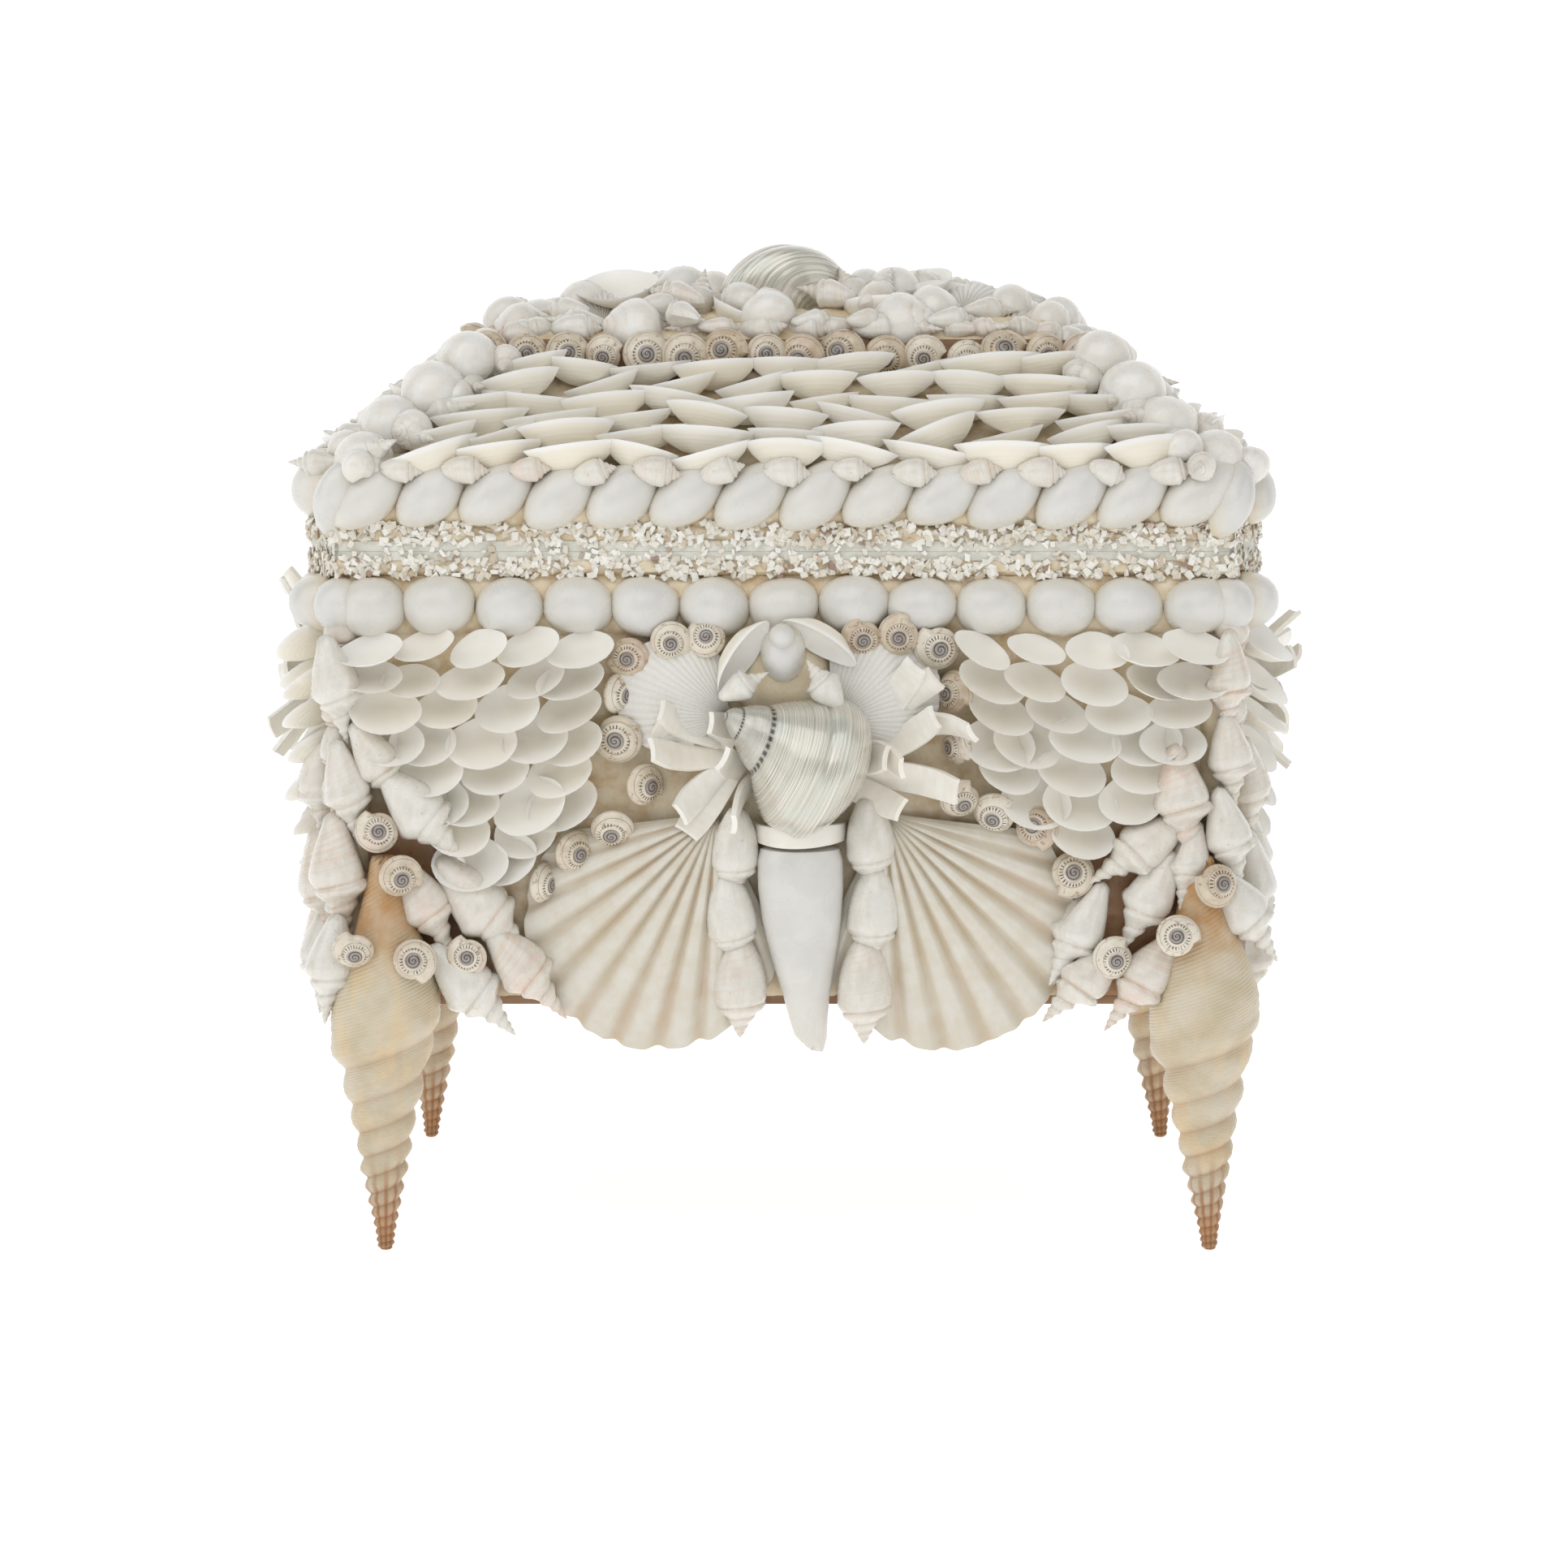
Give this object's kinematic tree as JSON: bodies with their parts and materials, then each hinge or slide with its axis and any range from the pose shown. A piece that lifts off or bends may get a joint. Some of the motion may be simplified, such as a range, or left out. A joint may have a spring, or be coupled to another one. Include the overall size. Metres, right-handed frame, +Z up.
{
  "type": "shell box",
  "caption": "Footed keepsake chest covered in sea shells, with a hipped lid that lifts off and a winged shell figure on the front, on spindle shell legs.",
  "frame": {"origin": "bottom centre of the whole box, level with the tips of the four legs", "axes": "+X to the right along the box as seen from the front, +Y to the back, +Z up; the winged figure faces -Y"},
  "size_m": [0.3552, 0.2502, 0.3243],
  "materials": {
    "wood": "bare grey-brown wood, stained with glue where it shows between the shells",
    "crushed_shell": "crushed shell chips set in glue, dull with a few bright chips",
    "white_shell": "polished white shell, smooth and a little translucent",
    "matte_shell": "off-white bivalve shell, satin inside with bright thin rims",
    "cream_shell": "cream and faintly pink shell with tan growth lines, satin",
    "pearl": "polished nacre, silver white with green and pink glints and dark seams",
    "button_shell": "glossy brownish cream with a dark grey spiral",
    "leg_shell": "cream, turning yellow brown towards the spire, fine spiral cords, satin"
  },
  "bodies": {
    "root": {"box_body": "wood", "lid_shell": "wood", "crushed_band_box": "crushed_shell", "crushed_band_lid": "crushed_shell", "moon_row_front": "white_shell", "moon_row_right": "white_shell", "moon_row_back": "white_shell", "moon_row_left": "white_shell", "oval_row_front": "white_shell", "oval_row_right": "white_shell", "oval_row_back": "white_shell", "oval_row_left": "white_shell", "leg_front_left": "leg_shell", "leg_front_right": "leg_shell", "leg_back_left": "leg_shell", "leg_back_right": "leg_shell", "front_turban": "pearl", "tusk": "white_shell", "belt": "white_shell", "head": "white_shell", "scallop_left": "cream_shell", "conch_column_left": "cream_shell", "fan_left": "matte_shell", "scallop_right": "cream_shell", "conch_column_right": "cream_shell", "fan_right": "matte_shell", "button_arc_left": "button_shell", "button_arc_right": "button_shell", "conches_front_left": "cream_shell", "conches_front_right": "cream_shell", "conches_right_left": "cream_shell", "conches_right_right": "cream_shell", "conches_back_left": "cream_shell", "conches_back_right": "cream_shell", "conches_left_left": "cream_shell", "conches_left_right": "cream_shell", "flower_right": "matte_shell", "flower_back": "matte_shell", "flower_left": "matte_shell", "button_border_front": "button_shell", "button_border_right": "button_shell", "button_border_back": "button_shell", "button_border_left": "button_shell", "ridge_front_left": "white_shell", "ridge_front_right": "white_shell", "ridge_back_left": "white_shell", "ridge_back_right": "white_shell", "top_turban": "pearl", "lid_top_shells": "cream_shell", "slope_shells_front": "matte_shell", "slope_shells_right": "matte_shell", "slope_shells_back": "matte_shell", "slope_shells_left": "matte_shell", "cups_front_left": "matte_shell", "cups_front_right": "matte_shell", "cups_back": "matte_shell", "cups_left": "matte_shell", "cups_right": "matte_shell", "cut_strips_left": "matte_shell", "cut_strips_right": "matte_shell"}
  },
  "joints": []
}
